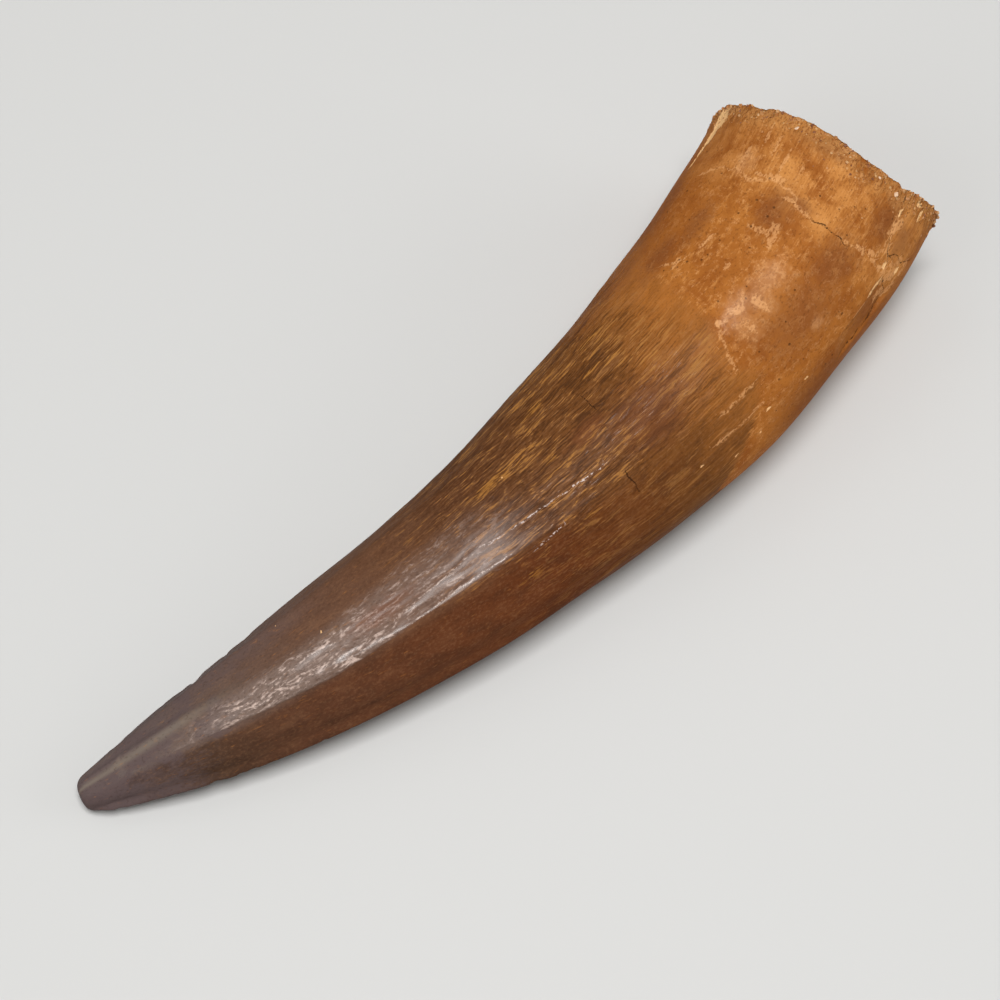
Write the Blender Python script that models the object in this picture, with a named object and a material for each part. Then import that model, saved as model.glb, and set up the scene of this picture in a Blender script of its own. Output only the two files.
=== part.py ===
"""A fossil spinosaur tooth lying on its side, in metres with +Z up. It is one solid.

The tooth is a bent, tapering horn: a blunt worn tip, a crown with two cutting edges and broad facets,
and a thick root that ends in a rough break. Each point of its skin has two coordinates:

- distance, measured along the bent axis from the tip to the break
- around, the angle round the axis in radians: 0 is the cutting edge inside the bend, a quarter turn is
  the upper face, a half turn is the cutting edge outside the bend, three quarters is the underside
"""

import math

import bmesh
import bpy
import numpy as np
from mathutils import Matrix

# Driving dimensions, in metres and degrees.
AXIS_LENGTH = 0.0965
TIP_HEADING = -18.0
EVEN_BEND = 25.3
ROOT_BEND = 13.0
AXIS_SHARES = (-0.05, 1.15)
AXIS_STEPS = 600
# Distance from the tip, half width across the cutting edges, half depth from face to face.
STATIONS = (
    (0.000, 0.00170, 0.00155),
    (0.006, 0.00305, 0.00275),
    (0.015, 0.00490, 0.00410),
    (0.028, 0.00690, 0.00560),
    (0.042, 0.00845, 0.00690),
    (0.055, 0.00985, 0.00820),
    (0.069, 0.01110, 0.00940),
    (0.084, 0.01205, 0.01040),
    (0.100, 0.01265, 0.01095),
)

# The worn tip is a blunt nose. It starts a little before the axis does.
NOSE_START = -0.0005
NOSE_DEPTH = 0.0012
NOSE_POWER = 0.72

# The cutting edges are low keels that rise behind the tip and fade out where the crown meets the root.
INNER_KEEL = 0.00030
OUTER_KEEL = 0.00060
KEEL_WIDTH = math.radians(8.0)
INNER_START = 0.010
OUTER_START = 0.0025
KEEL_END = 0.060

# Broad ridges with flat facets between them: angle at the start, angle at the end, start, end, height.
FACET_RIDGES = (
    (62.0, 98.0, -0.004, 0.030, 0.00040),
    (104.0, 130.0, 0.012, 0.060, 0.00045),
    (36.0, 52.0, 0.006, 0.054, 0.00025),
    (150.0, 158.0, 0.020, 0.060, 0.00018),
    (212.0, 204.0, 0.004, 0.050, 0.00025),
    (246.0, 238.0, 0.000, 0.056, 0.00035),
    (288.0, 282.0, 0.008, 0.060, 0.00030),
    (322.0, 326.0, 0.004, 0.046, 0.00022),
)
RIDGE_WIDTH = math.radians(9.0)
RIDGE_FADE = 0.010

# Slow swellings of the whole skin, stronger on the root. Each wave is given by its radians to the metre
# along the tooth, its turns round it, its phase and its share of the height.
CROWN_LUMPS = 0.00008
ROOT_LUMPS = 0.00016
ROOT_START = 0.055
ROOT_FULL = 0.072
SKIN_WAVES = ((115.0, 2, 0.0, 1.0), (240.0, -3, 1.3, 0.7), (390.0, 4, 4.0, 0.5))

# Missing flakes beside the break: middle angle, half angle, start, end, depth.
SPALLS = (
    (161.0, 8.0, 0.0800, 0.0885, 0.00030),
    (232.0, 14.0, 0.0885, 0.1050, 0.00045),
    (310.0, 10.0, 0.0905, 0.1050, 0.00040),
)
SPALL_EDGE = 0.0016

# The rim of the break: the angle, and how far in millimetres the rim lies beyond the end of the axis.
RIM_HEIGHTS = (
    (0, 1.0),
    (16, 0.5),
    (26, 0.6),
    (34, 0.2),
    (40, -0.2),
    (58, -0.8),
    (62, -0.5),
    (76, -0.9),
    (87, -1.25),
    (98, -1.35),
    (108, -1.6),
    (134, -1.6),
    (146, -0.6),
    (160, 0.2),
    (174, 1.1),
    (190, 1.2),
    (206, 0.3),
    (222, -0.4),
    (240, -0.3),
    (262, -1.2),
    (286, -0.9),
    (300, -1.1),
    (318, -0.1),
    (340, 0.5),
)
RIM_REACH = 0.010

# The broken face sinks to a dish in the middle, with coarse lumps.
BREAK_MIDDLE = -0.0018
BREAK_LUMPS = 0.00045
BREAK_WAVES = ((5.0, 4.0, 2.0, 0.5), (5.0, -4.0, 2.0, 0.5), (-4.0, 9.0, 1.0, 0.6))

# How the tooth lies: it is rolled on its side until it rests, and is worn flat where it touches.
LIE_ROLL = 1.2
REST_FLAT = 0.0003

# Mesh counts. The skin is a globe with its poles at the tip and in the middle of the break.
SEGMENTS = 72
NOSE_RINGS = 5
BODY_RINGS = 42
BREAK_RINGS = 6
EDGE_CROWDING = 0.10
END_CROWDING = 0.06

TOOTH_COLOUR = (0.23, 0.095, 0.033, 1.0)
TOOTH_ROUGHNESS = 0.42


def smooth_step(low, high, value):
    """0 below low, 1 above high, and an even S curve between them."""
    part = np.clip((value - low) / (high - low), 0.0, 1.0)
    return part * part * (3.0 - 2.0 * part)


def curve_through(places, sizes, value):
    """A cubic curve through every (place, size), with the slope at each that its neighbours give."""
    places, sizes = np.asarray(places), np.asarray(sizes)
    slopes = np.gradient(sizes, places)
    value = np.clip(value, places[0], places[-1])
    first = np.clip(np.searchsorted(places, value) - 1, 0, len(places) - 2)
    gap = places[first + 1] - places[first]
    part = (value - places[first]) / gap
    rest = 1.0 - part
    return (
        sizes[first] * rest * rest * (1.0 + 2.0 * part)
        + sizes[first + 1] * part * part * (3.0 - 2.0 * part)
        + gap * part * rest * (slopes[first] * rest - slopes[first + 1] * part)
    )


def bent_axis(distance):
    """The axis seen from above: its x, its y and its heading in radians, at each distance."""
    steps = np.linspace(*AXIS_SHARES, AXIS_STEPS)
    heading = np.radians(TIP_HEADING + EVEN_BEND * steps + ROOT_BEND * steps**3)
    stride = AXIS_LENGTH * np.diff(steps)
    middle = (heading[1:] + heading[:-1]) / 2.0
    x = np.concatenate([[0.0], np.cumsum(np.cos(middle) * stride)])
    y = np.concatenate([[0.0], np.cumsum(np.sin(middle) * stride)])
    share = distance / AXIS_LENGTH
    return np.interp(share, steps, x), np.interp(share, steps, y), np.interp(share, steps, heading)


def angle_between(around, middle):
    """The signed angle from middle to around, by the shorter way."""
    return (around - middle + math.pi) % (2.0 * math.pi) - math.pi


def keels(distance, around):
    """The two cutting edges."""
    inner = INNER_KEEL * np.exp(-((angle_between(around, 0.0) / KEEL_WIDTH) ** 2))
    outer = OUTER_KEEL * np.exp(-((angle_between(around, math.pi) / KEEL_WIDTH) ** 2))
    inner = inner * smooth_step(-0.2 * INNER_START, INNER_START, distance)
    outer = outer * smooth_step(-0.2 * OUTER_START, OUTER_START, distance)
    return (inner + outer) * (1.0 - smooth_step(0.5 * KEEL_END, KEEL_END, distance))


def facet_ridges(distance, around):
    """The broad ridges of the crown. Each drifts from one angle to another as it runs towards the root."""
    height = np.zeros(np.broadcast(distance, around).shape)
    for start_angle, end_angle, start, end, tall in FACET_RIDGES:
        part = np.clip((distance - start) / (end - start), 0.0, 1.0)
        middle = np.radians(start_angle + (end_angle - start_angle) * part)
        across = np.exp(-((angle_between(around, middle) / RIDGE_WIDTH) ** 2))
        rising = smooth_step(start, start + RIDGE_FADE, distance)
        falling = 1.0 - smooth_step(end - RIDGE_FADE, end, distance)
        height = height + tall * across * rising * falling
    return height


def lumps(distance, around):
    """Slow swellings, the same from one turn to the next."""
    waves = 0.0
    for along, turns, phase, share in SKIN_WAVES:
        waves = waves + share * np.sin(along * distance + turns * around + phase)
    tall = CROWN_LUMPS + (ROOT_LUMPS - CROWN_LUMPS) * smooth_step(ROOT_START, ROOT_FULL, distance)
    return tall * waves


def spalls(distance, around):
    """How deep the missing flakes lie."""
    depth = np.zeros(np.broadcast(distance, around).shape)
    for middle, half, start, end, deep in SPALLS:
        off = np.abs(angle_between(around, math.radians(middle)))
        across = 1.0 - smooth_step(0.6 * math.radians(half), math.radians(half), off)
        along = smooth_step(start, start + SPALL_EDGE, distance)
        along = along * (1.0 - smooth_step(end - SPALL_EDGE, end, distance))
        depth = np.maximum(depth, deep * across * along)
    return depth


def break_height(spread, around):
    """How far the broken face lies beyond the end of the axis. Spread is 1 at its edge, 0 in its middle."""
    angles, heights = np.array(RIM_HEIGHTS).T
    rim = 0.001 * np.interp(np.degrees(around), angles, heights, period=360.0)
    across, up = spread * np.cos(around), spread * np.sin(around)
    rough = 0.0
    for along_cut, upward, phase, share in BREAK_WAVES:
        rough = rough + share * np.sin(along_cut * across + upward * up + phase)
    return rim * spread**3 + (BREAK_MIDDLE + BREAK_LUMPS * rough) * (1.0 - spread**3)


def skin_point(distance, spread, around):
    """The point at this distance and angle. Spread is 1 on the skin and 0 on the axis."""
    x, y, heading = bent_axis(distance)
    places, widths, depths = np.array(STATIONS).T
    half_width = curve_through(places, widths, distance)
    half_depth = curve_through(places, depths, distance)
    relief = keels(distance, around) + facet_ridges(distance, around)
    relief = relief + lumps(distance, around) - spalls(distance, around)
    out_across, out_up = np.cos(around) / half_width, np.sin(around) / half_depth
    length = np.hypot(out_across, out_up)
    across = spread * (half_width * np.cos(around) + relief * out_across / length)
    up = spread * (half_depth * np.sin(around) + relief * out_up / length)
    return np.stack([x - np.sin(heading) * across, y + np.cos(heading) * across, up + half_depth], axis=-1)


def nose_ring(share, around):
    """A ring of the worn tip. Share is 0 at the pole and 1 where the sides begin."""
    turn = share * math.pi / 2.0
    spread = math.sin(turn) ** NOSE_POWER
    distance = NOSE_START + NOSE_DEPTH * (1.0 - math.cos(turn) ** NOSE_POWER)
    return skin_point(distance, spread, around)


def body_ring(share, around):
    """A ring of the sides. Share is 0 at the nose and 1 at the edge of the break."""
    crowded = share - END_CROWDING * math.sin(2.0 * math.pi * share)
    start = NOSE_START + NOSE_DEPTH
    distance = start + (AXIS_LENGTH - start) * crowded
    rim = break_height(1.0, around) * smooth_step(AXIS_LENGTH - RIM_REACH, AXIS_LENGTH, distance)
    return skin_point(distance + rim, 1.0, around)


def break_ring(share, around):
    """A ring of the broken end. Share is 0 at its edge and 1 at the pole in its middle."""
    spread = 1.0 - share
    return skin_point(AXIS_LENGTH + break_height(spread, around), spread, around)


def ring_points(ring, around):
    """The points of one ring of the globe, counted from the tip."""
    if ring <= NOSE_RINGS:
        return nose_ring(ring / NOSE_RINGS, around)
    if ring <= NOSE_RINGS + BODY_RINGS:
        return body_ring((ring - NOSE_RINGS) / BODY_RINGS, around)
    return break_ring((ring - NOSE_RINGS - BODY_RINGS) / BREAK_RINGS, around)


def lie_down(points):
    """Rolls the tooth as it rests, wears it flat where it touches, and centres it on its box."""
    points = points @ np.array(Matrix.Rotation(math.radians(LIE_ROLL), 3, "X")).T
    low, high = points.min(axis=0), points.max(axis=0)
    middle = (low + high) / 2.0
    points = points - np.array([middle[0], middle[1], low[2] + REST_FLAT])
    points[:, 2] = np.maximum(points[:, 2], 0.0)
    return points


def tooth_mesh(name):
    """A globe whose rings are moved to the tooth's skin, from the tip to the middle of the break."""
    rings = NOSE_RINGS + BODY_RINGS + BREAK_RINGS
    globe = bmesh.new()
    bmesh.ops.create_uvsphere(globe, u_segments=SEGMENTS, v_segments=rings, radius=1.0)
    places = np.array([vertex.co for vertex in globe.verts])
    ring_of = np.rint(np.arccos(np.clip(places[:, 2], -1.0, 1.0)) / math.pi * rings).astype(int)
    turn = np.arctan2(places[:, 1], places[:, 0])
    around = (turn - EDGE_CROWDING * np.sin(2.0 * turn)) % (2.0 * math.pi)
    points = np.zeros((len(places), 3))
    for ring in range(rings + 1):
        here = ring_of == ring
        points[here] = ring_points(ring, around[here])
    for vertex, point in zip(globe.verts, lie_down(points)):
        vertex.co = point
    bmesh.ops.recalc_face_normals(globe, faces=globe.faces)
    mesh = bpy.data.meshes.new(name)
    globe.to_mesh(mesh)
    globe.free()
    mesh.shade_smooth()
    return mesh


def fossil_material():
    """Brown fossil enamel and dentine, with a dull polish."""
    material = bpy.data.materials.new("fossil_dentine")
    material.use_nodes = True
    shader = material.node_tree.nodes["Principled BSDF"]
    shader.inputs["Base Color"].default_value = TOOTH_COLOUR
    shader.inputs["Roughness"].default_value = TOOTH_ROUGHNESS
    shader.inputs["Metallic"].default_value = 0.0
    return material


def main():
    for old in list(bpy.data.objects):
        bpy.data.objects.remove(old)
    mesh = tooth_mesh("tooth")
    mesh.materials.append(fossil_material())
    bpy.context.scene.collection.objects.link(bpy.data.objects.new("tooth", mesh))


main()
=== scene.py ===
# %% [markdown]
# # A fossil tooth, from plain horn to amber root
#
# A spinosaur's tooth is a bent horn with two cutting edges. After a hundred million years its enamel is
# grey and brown, its root is the colour of amber, and sand clings to the broken end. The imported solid
# already has the real size and place. This lesson builds a finer skin in that place, presses the small
# relief into it as real geometry, and leaves only what is thinner than a hair to the shaders.

# %% Load the solid
import math
from functools import reduce

import bmesh
import bpy
import numpy as np
from mathutils import Matrix, Vector, noise


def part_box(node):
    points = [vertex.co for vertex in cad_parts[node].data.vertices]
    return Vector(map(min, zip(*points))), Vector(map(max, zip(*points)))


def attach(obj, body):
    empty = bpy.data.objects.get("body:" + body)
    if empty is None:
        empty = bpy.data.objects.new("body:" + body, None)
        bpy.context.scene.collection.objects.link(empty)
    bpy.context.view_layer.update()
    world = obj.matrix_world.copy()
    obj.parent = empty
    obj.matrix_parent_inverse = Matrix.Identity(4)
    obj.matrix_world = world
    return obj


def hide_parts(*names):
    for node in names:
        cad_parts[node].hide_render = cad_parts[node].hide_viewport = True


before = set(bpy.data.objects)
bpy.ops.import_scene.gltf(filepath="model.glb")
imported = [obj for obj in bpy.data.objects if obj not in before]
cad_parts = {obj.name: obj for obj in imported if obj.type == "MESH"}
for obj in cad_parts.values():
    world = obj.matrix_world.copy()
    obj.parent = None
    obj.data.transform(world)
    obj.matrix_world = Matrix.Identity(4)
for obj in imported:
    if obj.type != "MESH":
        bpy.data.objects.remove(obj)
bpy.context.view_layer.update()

tooth_low, tooth_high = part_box("tooth")
print("solid tooth, mm:", [round(1000.0 * (high - low), 1) for low, high in zip(tooth_low, tooth_high)])

# %% [markdown]
# ## The camera
#
# The tooth is seen from above, with its tip at the lower left. A long lens close to the tooth keeps the
# outline calm. The camera looks at one point inside the tooth, and its own axis is found from two angles,
# so that another view only needs other angles.

# %% Camera
LENS_MM = 90.0
SENSOR_MM = 36.0
CAMERA_DISTANCE = 0.243
CAMERA_AZIMUTH = -43.0
CAMERA_ELEVATION = 68.0
CAMERA_AIM = Vector((-0.0020, -0.0004, 0.0080))
CLIP_START = 0.01


def show(name, data):
    """Puts a new object with this data into the scene."""
    made = bpy.data.objects.new(name, data)
    bpy.context.scene.collection.objects.link(made)
    return made


def aim(thing, azimuth, elevation, distance):
    """Sets a camera or a lamp at these degrees and this distance from the tooth, turned towards it."""
    azimuth, elevation = math.radians(azimuth), math.radians(elevation)
    flat = math.cos(elevation)
    toward = Vector((math.sin(azimuth) * flat, -math.cos(azimuth) * flat, math.sin(elevation)))
    thing.location = CAMERA_AIM + distance * toward
    thing.rotation_euler = toward.to_track_quat("Z", "Y").to_euler()


lens = bpy.data.cameras.new("portrait_lens")
lens.lens = LENS_MM
lens.sensor_width = SENSOR_MM
lens.clip_start = CLIP_START
camera = show("portrait_camera", lens)
aim(camera, CAMERA_AZIMUTH, CAMERA_ELEVATION, CAMERA_DISTANCE)
bpy.context.scene.camera = camera
print("camera at", [round(value, 3) for value in camera.location])

# %% [markdown]
# ## Floor and light
#
# Old enamel shows its polish only where something bright is mirrored in it. One softbox hangs straight
# above, and the crest of the crown carries its reflection from end to end. Three wide, weak lights open
# the shadows. The floor is plain and pale, so that it adds no colour of its own.

# %% Floor and light
FLOOR_SIZE = 4.0
FLOOR_COLOUR = (0.60, 0.60, 0.59, 1.0)
FLOOR_ROUGHNESS = 0.7
ROOM_COLOUR = (1.00, 0.98, 0.95, 1.0)
ROOM_STRENGTH = 0.22
# Each light: name, azimuth and elevation in degrees, distance, width, height, power in watts.
LIGHTS = (
    ("overhead_softbox", -20, 84, 0.6, 0.22, 0.22, 3.1),
    ("window_glow", 200, 50, 0.9, 0.7, 0.5, 0.4),
    ("side_glow", -100, 40, 0.9, 0.6, 0.5, 1.2),
    ("low_glow", 50, 22, 0.9, 0.6, 0.4, 1.3),
)

floor_mesh = bpy.data.meshes.new("floor")
corner = FLOOR_SIZE / 2.0
floor_corners = [(x * corner, y * corner, 0.0) for x, y in ((-1, -1), (1, -1), (1, 1), (-1, 1))]
floor_mesh.from_pydata(floor_corners, [], [(0, 1, 2, 3)])
floor = show("floor", floor_mesh)
floor_paint = bpy.data.materials.new("floor_paint")
floor_paint.use_nodes = True
floor_surface = floor_paint.node_tree.nodes["Principled BSDF"].inputs
floor_surface["Base Color"].default_value = FLOOR_COLOUR
floor_surface["Roughness"].default_value = FLOOR_ROUGHNESS
floor_mesh.materials.append(floor_paint)

for name, azimuth, elevation, distance, width, height, power in LIGHTS:
    lamp = bpy.data.lights.new(name, "AREA")
    lamp.shape = "RECTANGLE"
    lamp.size, lamp.size_y, lamp.energy = width, height, power
    aim(show(name, lamp), azimuth, elevation, distance)

room = bpy.data.worlds.new("room")
room.use_nodes = True
glow = room.node_tree.nodes["Background"].inputs
glow["Color"].default_value = ROOM_COLOUR
glow["Strength"].default_value = ROOM_STRENGTH
bpy.context.scene.world = room
bpy.context.scene.view_settings.view_transform = "Standard"
print("lights:", [entry[0] for entry in LIGHTS])

# %% [markdown]
# ## Two coordinates for a bent horn
#
# Every point of the skin has a distance along the bent axis, counted from the tip, and an angle round it.
# The angle is 0 at the cutting edge inside the bend, a quarter turn on the upper face and a half turn at
# the outer edge. With these two numbers a groove can be drawn along the tooth as if it were straight. The
# bend and the cross sections are the ones that the solid was built from.

# %% Bend and cross sections
AXIS_LENGTH = 0.0965
TIP_HEADING = -18.0
EVEN_BEND = 25.3
ROOT_BEND = 13.0
AXIS_SHARES = (-0.05, 1.15)
AXIS_STEPS = 600
# Distance from the tip, half width across the cutting edges, half depth from face to face.
STATIONS = (
    (0.000, 0.00170, 0.00155),
    (0.006, 0.00305, 0.00275),
    (0.015, 0.00490, 0.00410),
    (0.028, 0.00690, 0.00560),
    (0.042, 0.00845, 0.00690),
    (0.055, 0.00985, 0.00820),
    (0.069, 0.01110, 0.00940),
    (0.084, 0.01205, 0.01040),
    (0.100, 0.01265, 0.01095),
)


def smooth_step(low, high, value):
    """0 below low, 1 above high, and an even S curve between them."""
    part = np.clip((value - low) / (high - low), 0.0, 1.0)
    return part * part * (3.0 - 2.0 * part)


def window(start, end, rise, fall, value):
    """1 between start and end, with an even rise after the start and an even fall before the end."""
    return smooth_step(start, start + rise, value) * (1.0 - smooth_step(end - fall, end, value))


def hump(offset, width):
    """1 where the offset is 0, and an even fall to both sides."""
    return np.exp(-((offset / width) ** 2))


def look_up(table, value, period=None):
    """The number that a table of (place, number) gives at this place."""
    places, numbers = np.array(table).T
    return np.interp(value, places, numbers, period=period)


def curve_through(places, sizes, value):
    """A cubic curve through every (place, size), with the slope at each that its neighbours give."""
    places, sizes = np.asarray(places), np.asarray(sizes)
    slopes = np.gradient(sizes, places)
    value = np.clip(value, places[0], places[-1])
    first = np.clip(np.searchsorted(places, value) - 1, 0, len(places) - 2)
    gap = places[first + 1] - places[first]
    part = (value - places[first]) / gap
    rest = 1.0 - part
    return (
        sizes[first] * rest * rest * (1.0 + 2.0 * part)
        + sizes[first + 1] * part * part * (3.0 - 2.0 * part)
        + gap * part * rest * (slopes[first] * rest - slopes[first + 1] * part)
    )


def bent_axis(distance):
    """The axis seen from above: its x, its y and its heading in radians, at each distance."""
    steps = np.linspace(*AXIS_SHARES, AXIS_STEPS)
    heading = np.radians(TIP_HEADING + EVEN_BEND * steps + ROOT_BEND * steps**3)
    stride = AXIS_LENGTH * np.diff(steps)
    middle = (heading[1:] + heading[:-1]) / 2.0
    x = np.concatenate([[0.0], np.cumsum(np.cos(middle) * stride)])
    y = np.concatenate([[0.0], np.cumsum(np.sin(middle) * stride)])
    share = distance / AXIS_LENGTH
    return np.interp(share, steps, x), np.interp(share, steps, y), np.interp(share, steps, heading)


def cross_section(distance):
    """Half width and half depth at each distance."""
    places, widths, depths = np.array(STATIONS).T
    return curve_through(places, widths, distance), curve_through(places, depths, distance)


def radius_mm(distance):
    """The mean half thickness in millimetres at each distance."""
    return 500.0 * sum(cross_section(distance))


print("half width at the root, mm:", round(1000.0 * float(cross_section(np.array([AXIS_LENGTH]))[0][0]), 2))

# %% [markdown]
# ## Keels, ridges and swellings
#
# The cutting edges are keels. Between them the crown has broad facets that meet in ridges, and the whole
# skin swells and sinks a little. All of these are in the solid too, so the same formulas are used here,
# and the two shapes agree.

# %% Keels, ridges and swellings
# Each cutting edge: its angle, its height, and the distance at which it has that height.
KEELS = ((0.0, 0.0003, 0.010), (math.pi, 0.0006, 0.0025))
KEEL_WIDTH = math.radians(8.0)
KEEL_END = 0.060
KEEL_LEAD = -0.2
# Each ridge: angle at the start, angle at the end, start, end, height.
FACET_RIDGES = (
    (62, 98, -0.004, 0.03, 0.0004),
    (104, 130, 0.012, 0.06, 0.00045),
    (36, 52, 0.006, 0.054, 0.00025),
    (150, 158, 0.02, 0.06, 0.00018),
    (212, 204, 0.004, 0.05, 0.00025),
    (246, 238, 0, 0.056, 0.00035),
    (288, 282, 0.008, 0.06, 0.0003),
    (322, 326, 0.004, 0.046, 0.00022),
)
RIDGE_WIDTH = math.radians(9.0)
RIDGE_FADE = 0.010
CROWN_LUMPS = 0.00008
ROOT_LUMPS = 0.00016
ROOT_START = 0.055
ROOT_FULL = 0.072
# Each wave: radians to the metre along the tooth, turns round it, phase, share of the height.
SKIN_WAVES = ((115.0, 2, 0.0, 1.0), (240.0, -3, 1.3, 0.7), (390.0, 4, 4.0, 0.5))


def angle_between(around, middle):
    """The signed angle from middle to around, by the shorter way."""
    return (around - middle + math.pi) % (2.0 * math.pi) - math.pi


def keels(distance, around):
    """The two cutting edges."""
    height = 0.0
    for middle, tall, start in KEELS:
        across = hump(angle_between(around, middle), KEEL_WIDTH)
        height = height + tall * across * smooth_step(KEEL_LEAD * start, start, distance)
    return height * (1.0 - smooth_step(0.5 * KEEL_END, KEEL_END, distance))


def facet_ridges(distance, around):
    """The broad ridges of the crown. Each drifts from one angle to another as it runs towards the root."""
    height = np.zeros(np.broadcast(distance, around).shape)
    for start_angle, end_angle, start, end, tall in FACET_RIDGES:
        part = np.clip((distance - start) / (end - start), 0.0, 1.0)
        middle = np.radians(start_angle + (end_angle - start_angle) * part)
        across = hump(angle_between(around, middle), RIDGE_WIDTH)
        height = height + tall * across * window(start, end, RIDGE_FADE, RIDGE_FADE, distance)
    return height


def lumps(distance, around):
    """Slow swellings, the same from one turn to the next."""
    waves = 0.0
    for along, turns, phase, share in SKIN_WAVES:
        waves = waves + share * np.sin(along * distance + turns * around + phase)
    tall = CROWN_LUMPS + (ROOT_LUMPS - CROWN_LUMPS) * smooth_step(ROOT_START, ROOT_FULL, distance)
    return tall * waves


print("ridges on the crown:", len(FACET_RIDGES))

# %% [markdown]
# ## The broken end
#
# The root snapped across. Its rim sinks in the middle of the upper face and rises to both cutting edges,
# and flakes are missing beside it. The height of the broken face depends on how far out from the axis a
# point lies, from 0 in the middle to 1 at the edge, so that the face and the skin share one edge exactly.

# %% The broken end
# Missing flakes: middle angle, half angle, start, end, depth.
SPALLS = (
    (161, 8, 0.08, 0.0885, 0.0003),
    (232, 14, 0.0885, 0.105, 0.00045),
    (310, 10, 0.0905, 0.105, 0.0004),
)
SPALL_EDGE = 0.0016
SPALL_CORE = 0.6
# The angle in degrees, and how far in millimetres the rim lies beyond the end of the axis.
RIM_HEIGHTS = (
    (0, 1.0), (16, 0.5), (26, 0.6), (34, 0.2), (40, -0.2), (58, -0.8), (62, -0.5), (76, -0.9), (87, -1.25),
    (98, -1.35), (108, -1.6), (134, -1.6), (146, -0.6), (160, 0.2), (174, 1.1), (190, 1.2), (206, 0.3),
    (222, -0.4), (240, -0.3), (262, -1.2), (286, -0.9), (300, -1.1), (318, -0.1), (340, 0.5),
)
RIM_REACH = 0.010
BREAK_MIDDLE = -0.0018
BREAK_LUMPS = 0.00045
# Each wave: radians across the break, radians up it, phase, share of the height.
BREAK_WAVES = ((5.0, 4.0, 2.0, 0.5), (5.0, -4.0, 2.0, 0.5), (-4.0, 9.0, 1.0, 0.6))


def spalls(distance, around):
    """How deep the missing flakes lie."""
    depth = np.zeros(np.broadcast(distance, around).shape)
    for middle, half, start, end, deep in SPALLS:
        off = np.abs(angle_between(around, math.radians(middle)))
        across = 1.0 - smooth_step(SPALL_CORE * math.radians(half), math.radians(half), off)
        along = window(start, end, SPALL_EDGE, SPALL_EDGE, distance)
        depth = np.maximum(depth, deep * across * along)
    return depth


def break_height(spread, around):
    """How far the broken face lies beyond the end of the axis. Spread is 1 at its edge, 0 in its middle."""
    rim = 0.001 * look_up(RIM_HEIGHTS, np.degrees(around), 360.0)
    across, up = spread * np.cos(around), spread * np.sin(around)
    rough = 0.0
    for along_cut, upward, phase, share in BREAK_WAVES:
        rough = rough + share * np.sin(along_cut * across + upward * up + phase)
    return rim * spread**3 + (BREAK_MIDDLE + BREAK_LUMPS * rough) * (1.0 - spread**3)


print("flakes missing at the break:", len(SPALLS))

# %% [markdown]
# ## Zones of the skin
#
# Streaks, silk and sand each keep to their own part of the tooth. A zone is a number from 0 to 1 for every
# point of the skin. The same number later scales the relief in the mesh and the colour in the shader, so
# the two always agree. The angles are in degrees and the distances in millimetres, because that is how
# marks are read off a tooth with a ruler and a turntable.

# %% Zones of the skin
# The wrinkled silky band on the crest of the crown: (distance, angle) along both of its edges.
SILK_LOWER_EDGE = ((9, 109), (17, 114), (25, 118), (34, 114.5), (44, 115), (50, 117), (66, 121))
SILK_UPPER_EDGE = ((9, 99), (15, 93), (25, 91), (30, 88), (35, 84), (43, 82), (47, 86), (60, 92), (66, 97))
# Degrees past each edge between which the silk starts and stops.
SILK_SOFT = (-14, 4)
SILK_CRISP = (-1, 1)
SILK_RISE = (7, 18)
# Where the amber root begins: (angle, distance).
ROOT_LINE = (
    (0, 80), (20, 78.5), (42, 74.5), (90, 73), (105, 72), (118, 71.3), (132, 72.8), (150, 70), (180, 64),
)
ROOT_LINE_BLEND = (-1.5, 1.5)
STREAK_START = 31
STREAK_RISE = 18
STREAK_END = 75
STREAK_FALL = 10
BELLY_ANGLE = 119
BELLY_SOFT = (-6, 7)
# Where the painted shade on both sides of the root starts along the tooth.
ROOT_SIDE_SHADE_RISE = (70, 78)
TIP_EDGE_ANGLES = (68, 50)
TIP_EDGE_FADE = (32, 16)
# The tip's ridge, along which a pale stripe is painted as a highlight.
TIP_RIDGE_ANGLE = 80
TIP_RIDGE_WIDTH = 6
TIP_RIDGE_FADE = (20, 8)
# Smooth steps: start, end and height of each, along the tooth or round it.
SILK_LOSS = ((26, 38, 0.55), (38, 50, 0.43))
STREAK_DELAY = ((110, 130, 6),)
STREAK_EXTRA = ((45, 20, 7),)
STREAK_CALM = ((112, 134, 0.65),)
FAR_SIDE_CALM = ((0, 0.4, 0.35),)
BELLY_SHIFT = ((45, 66, 10), (16, 4, -6))
# Painted shade on both sides of the root, round the tooth.
ROOT_SIDE_SHADE = ((66, 38, 1), (140, 158, 0.3), (160, 172, 0.9))


def stairs(steps, value):
    """Several smooth steps added up."""
    return sum(height * smooth_step(start, end, value) for start, end, height in steps)


def fold(around):
    """The angle in degrees from the inner cutting edge, 0 to 180, the same on both faces."""
    return np.degrees(np.abs(angle_between(around, 0.0)))


def silk_zone(distance, around):
    """1 on the silky wrinkled band of the crest, with a crisp lower edge and a soft upper one."""
    along = 1000.0 * distance
    past_upper = fold(around) - look_up(SILK_UPPER_EDGE, along)
    past_lower = fold(around) - look_up(SILK_LOWER_EDGE, along)
    across = smooth_step(*SILK_SOFT, past_upper) * (1.0 - smooth_step(*SILK_CRISP, past_lower))
    return across * smooth_step(*SILK_RISE, along) * (1.0 - stairs(SILK_LOSS, along))


def streak_zone(distance, around):
    """1 where the enamel is worn into streaks, between the smooth crown and the root."""
    angle = fold(around)
    start = STREAK_START + stairs(STREAK_DELAY, angle)
    end = STREAK_END + stairs(STREAK_EXTRA, angle)
    calm = (1.0 - stairs(STREAK_CALM, angle)) * (1.0 - stairs(FAR_SIDE_CALM, -np.sin(around)))
    return calm * window(start, end, STREAK_RISE, STREAK_FALL, 1000.0 * distance)


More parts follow.
